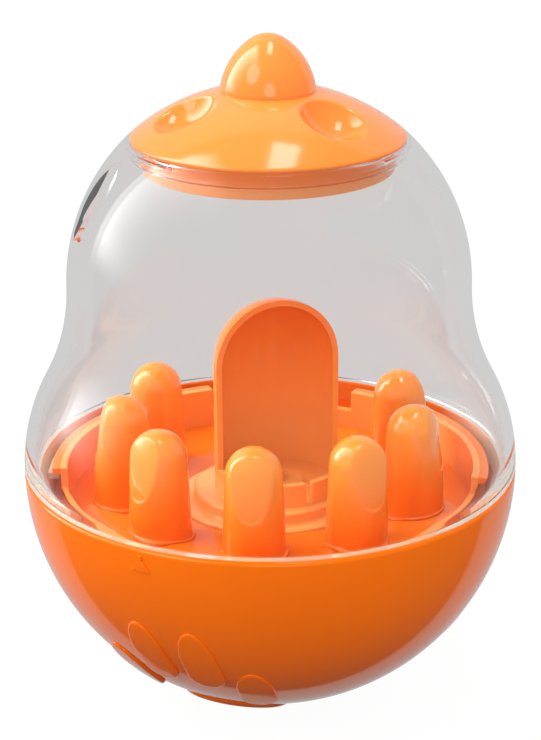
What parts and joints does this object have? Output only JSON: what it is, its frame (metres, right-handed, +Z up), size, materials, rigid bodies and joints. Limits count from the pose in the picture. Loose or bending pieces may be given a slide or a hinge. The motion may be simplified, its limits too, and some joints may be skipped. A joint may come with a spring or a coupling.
{
  "type": "treat ball",
  "caption": "Tumbling treat ball for pets: weighted round bowl, clear twist-on dome with a treat outlet, twist-in lid with a knob, and a tray of rounded posts round a turning hood-shaped scoop.",
  "frame": {"origin": "centre of the flat under the bowl", "axes": "+Z up through the knob, -Y towards the picture's viewer"},
  "size_m": [0.105, 0.105, 0.1433],
  "materials": {
    "bowl_orange": "smooth moulded, low gloss",
    "tray_orange": "smooth moulded, gloss",
    "post_orange": "smooth soft moulding, satin",
    "scoop_orange": "smooth moulded, gloss",
    "lid_orange": "smooth moulded, gloss",
    "clear": "clear polished plastic",
    "steel": "plain",
    "iron": "as cast"
  },
  "bodies": {
    "base": {"bowl": "bowl_orange", "counterweight": "iron", "weight_screws": "steel", "tray": "tray_orange", "tray_screws": "steel", "post_1": "post_orange", "post_2": "post_orange", "post_3": "post_orange", "post_4": "post_orange", "post_5": "post_orange", "post_6": "post_orange", "post_7": "post_orange", "hub_washer": "scoop_orange", "hub_screw": "steel"},
    "rotor": {"hub": "scoop_orange", "scoop": "scoop_orange"},
    "dome": {"dome": "clear"},
    "lid": {"lid": "lid_orange", "knob": "lid_orange", "knob_screw": "steel"}
  },
  "joints": [
    {"name": "scoop_turn", "type": "hinge", "parent": "base", "child": "rotor", "pos_m": [0, 0, 0.04254], "axis": [0, 0, 1], "continuous": true},
    {"name": "dome_twist", "type": "hinge", "parent": "base", "child": "dome", "pos_m": [0, 0, 0.05154], "axis": [0, 0, 1], "range_deg": [0, 30]},
    {"name": "lid_twist", "type": "hinge", "parent": "dome", "child": "lid", "pos_m": [0, 0, 0.11954], "axis": [0, 0, 1], "range_deg": [0, 30]}
  ]
}
